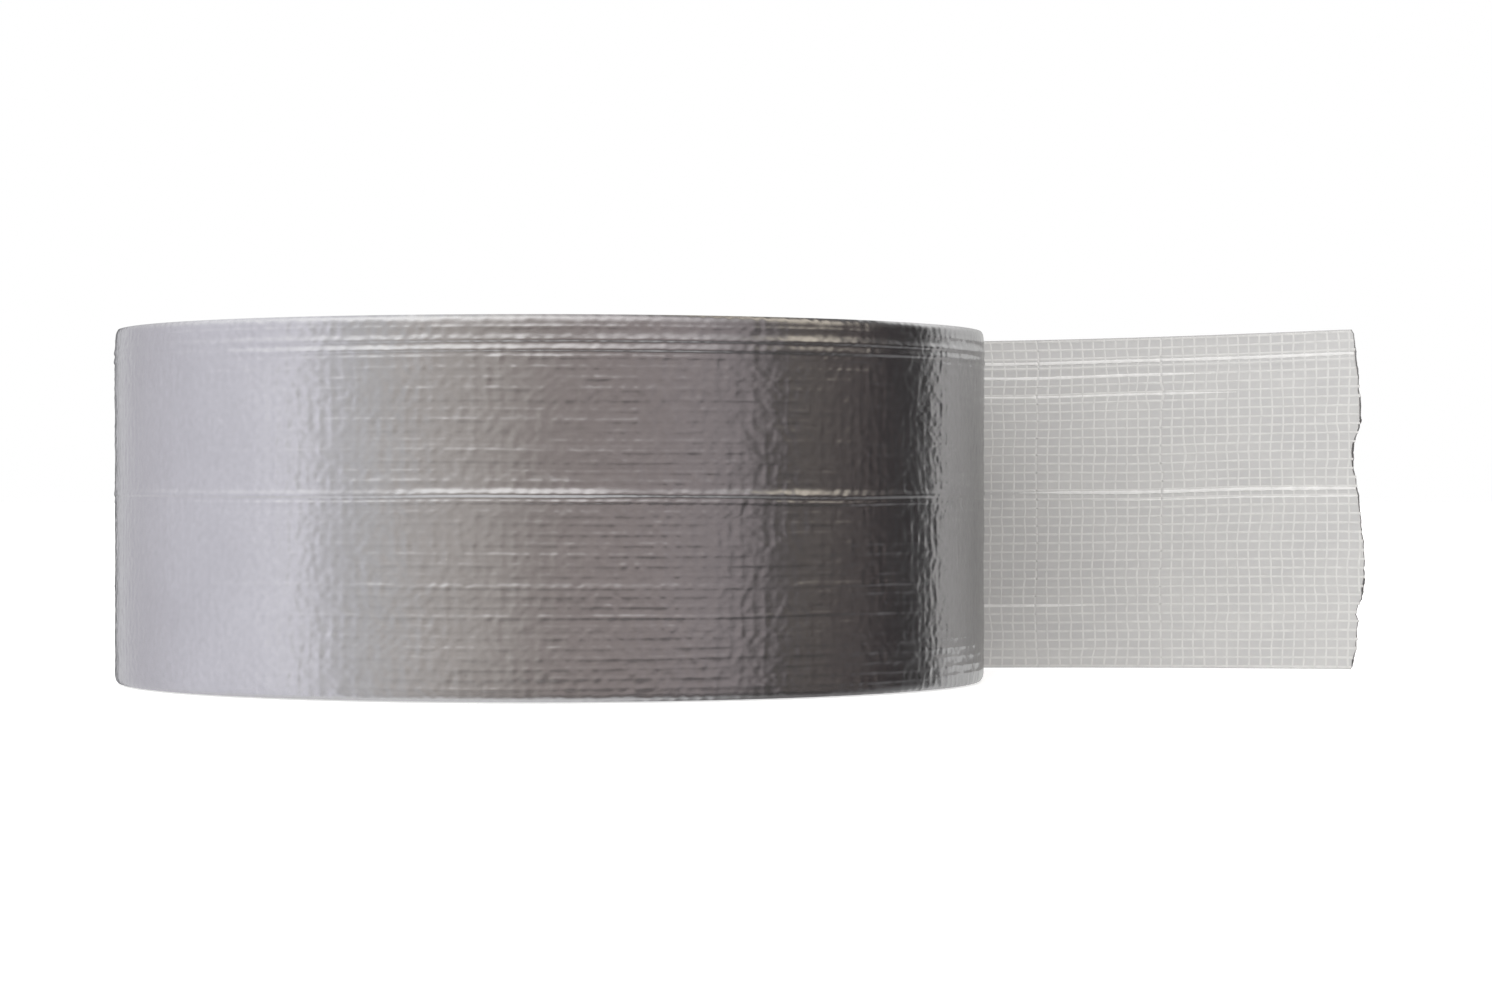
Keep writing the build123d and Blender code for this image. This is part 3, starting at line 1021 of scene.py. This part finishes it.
def sky():
    """The studio as the film mirrors it. The camera itself sees plain white."""
    world = bpy.data.worlds.new("studio")
    bpy.context.scene.world = world
    w = World(world)
    where = w.add("ShaderNodeTexCoord")
    split = w.add("ShaderNodeSeparateXYZ")
    w.link(where.outputs["Generated"], split.inputs["Vector"])
    forward = w.math("MULTIPLY", split.outputs["Y"], -1.0)
    azimuth = w.math("ARCTAN2", split.outputs["X"], forward)
    share = w.span(azimuth, 0.0, 1.0, -math.pi, math.pi)
    walls, ceiling, low_share, low_glow, table = (w.round_ramp(share, stops) for stops in (
        WALLS, CEILING, LOW_SHARE, LOW_GLOW, TABLE
    ))
    height = split.outputs["Z"]
    overhead = w.mix(w.soft_step(height, 0.65, 0.98), ceiling, w.scaled(ceiling, STEEP_SHARE))
    low = w.colour_math("ADD", w.colour_math("MULTIPLY", walls, low_share), low_glow)
    low = w.mix(w.soft_step(height, -0.34, -0.85), low, table)
    light = w.mix(w.soft_step(height, 0.09, 0.58), walls, overhead)
    light = w.mix(w.soft_step(height, -0.05, -0.30), light, low)
    background = w.tree.nodes["Background"]
    white = w.add("ShaderNodeBackground")
    white.inputs["Color"].default_value = (1, 1, 1, 1)
    choice = w.add("ShaderNodeMixShader")
    path = w.add("ShaderNodeLightPath")
    w.link(light, background.inputs["Color"])
    w.link(path.outputs["Is Camera Ray"], choice.inputs[0])
    w.link(background.outputs[0], choice.inputs[1])
    w.link(white.outputs[0], choice.inputs[2])
    w.link(choice.outputs[0], w.tree.nodes["World Output"].inputs["Surface"])


def studio():
    """A pale floor, and one soft lamp in front of the roll and above it."""
    scene = bpy.context.scene
    scene.view_settings.view_transform = "Standard"
    half = 6.0
    corners = np.array([(-half, -half, 0), (half, -half, 0), (half, half, 0), (-half, half, 0)])
    look = Nodes("pale_floor")
    look.set(Base_Color=(0.82, 0.82, 0.82, 1), Roughness=0.9)
    look.set(Emission_Color=(1, 1, 1, 1), Emission_Strength=0.55)
    floor = new_object("floor", corners, [(0, 1, 2, 3)], look.material)
    floor.location.z = FLOOR_LEVEL
    floor.visible_glossy = False
    top = bpy.data.lights.new("top_softbox", "AREA")
    top.shape = "RECTANGLE"
    top.size, top.size_y = 1.0, 0.8
    top.energy = 4.5
    lamp = bpy.data.objects.new("top_softbox", top)
    lamp.location = (0.0, -0.55, 0.9)
    lamp.visible_glossy = False
    aim = Vector((0.02, 0, 0.02)) - lamp.location
    lamp.rotation_euler = aim.to_track_quat("-Z", "Y").to_euler()
    scene.collection.objects.link(lamp)


def camera():
    """The photograph's viewing angle: a long lens, low down and square to the roll's side."""
    data = bpy.data.cameras.new("camera")
    data.sensor_width = 36.0
    data.lens = LENS
    data.clip_start, data.clip_end = 0.01, 50
    obj = bpy.data.objects.new("camera", data)
    radius = RADIUS * MM
    obj.location = [part * radius for part in CAMERA_PLACE]
    obj.rotation_euler = (math.radians(90 - CAMERA_DIP), 0, 0)
    bpy.context.scene.collection.objects.link(obj)
    bpy.context.scene.camera = obj


outer_turn()
wound_turns()
loose_end()
core()
sky()
studio()
camera()
